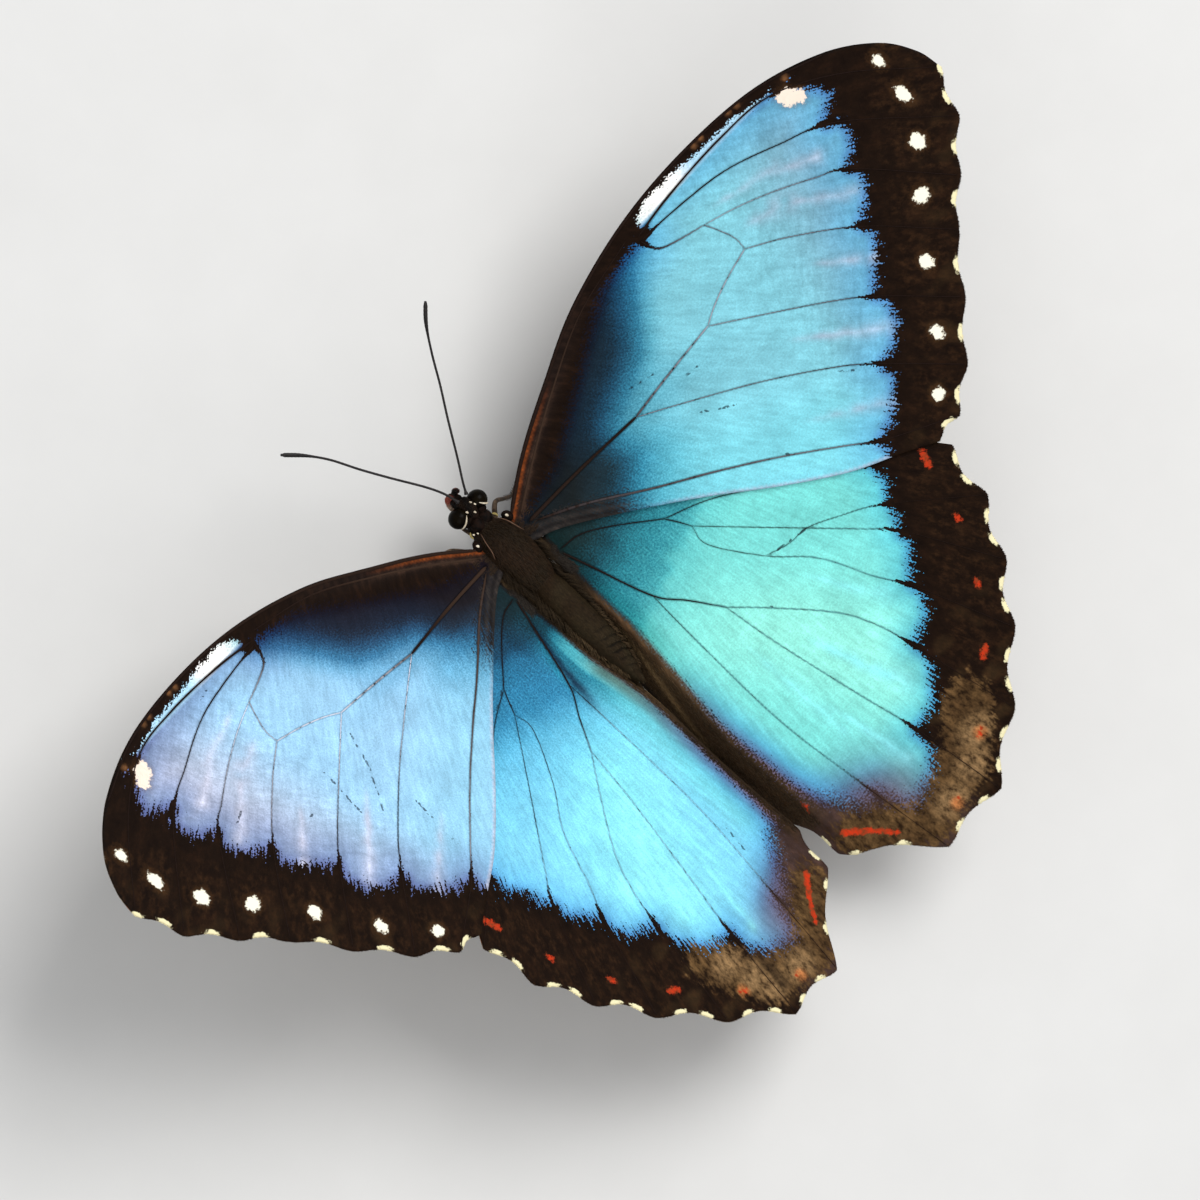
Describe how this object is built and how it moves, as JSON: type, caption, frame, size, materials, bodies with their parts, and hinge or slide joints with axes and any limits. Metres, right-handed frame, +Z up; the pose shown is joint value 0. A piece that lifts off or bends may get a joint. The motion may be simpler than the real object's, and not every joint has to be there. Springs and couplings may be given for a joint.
{
  "type": "blue morpho butterfly model",
  "caption": "Life-size blue morpho butterfly standing with wings raised in a shallow V, iridescent blue above and brown with eyespots below.",
  "frame": {"origin": "on the floor, under the middle of the bounding box", "axes": "+Z up, +X to the butterfly's left across the wings, -Y to the head"},
  "size_m": [0.1286, 0.0814, 0.0363],
  "materials": {
    "wing_blue_cyan": "iridescent blue scales with a black margin",
    "wing_blue_aqua": "iridescent blue-green scales with a black margin",
    "body_fur": "short dark brown hair",
    "head_black": "short black hair",
    "eye_brown": "glossy compound eye",
    "palp_pink": "short reddish and cream scales",
    "feeler_black": "dull black",
    "leg_brown": "brown, finely scaled"
  },
  "bodies": {
    "root": {"head": "head_black", "collar": "head_black", "eye_left": "eye_brown", "eye_right": "eye_brown", "palp_left": "palp_pink", "palp_right": "palp_pink", "proboscis": "leg_brown", "antenna_left": "feeler_black", "antenna_right": "feeler_black", "thorax": "body_fur", "abdomen": "body_fur", "forewing_left": "wing_blue_cyan", "forewing_right": "wing_blue_cyan", "hindwing_left": "wing_blue_aqua", "hindwing_right": "wing_blue_aqua", "foreleg_left": "leg_brown", "foreleg_right": "leg_brown", "midleg_left": "leg_brown", "midleg_right": "leg_brown", "hindleg_left": "leg_brown", "hindleg_right": "leg_brown"}
  },
  "joints": []
}
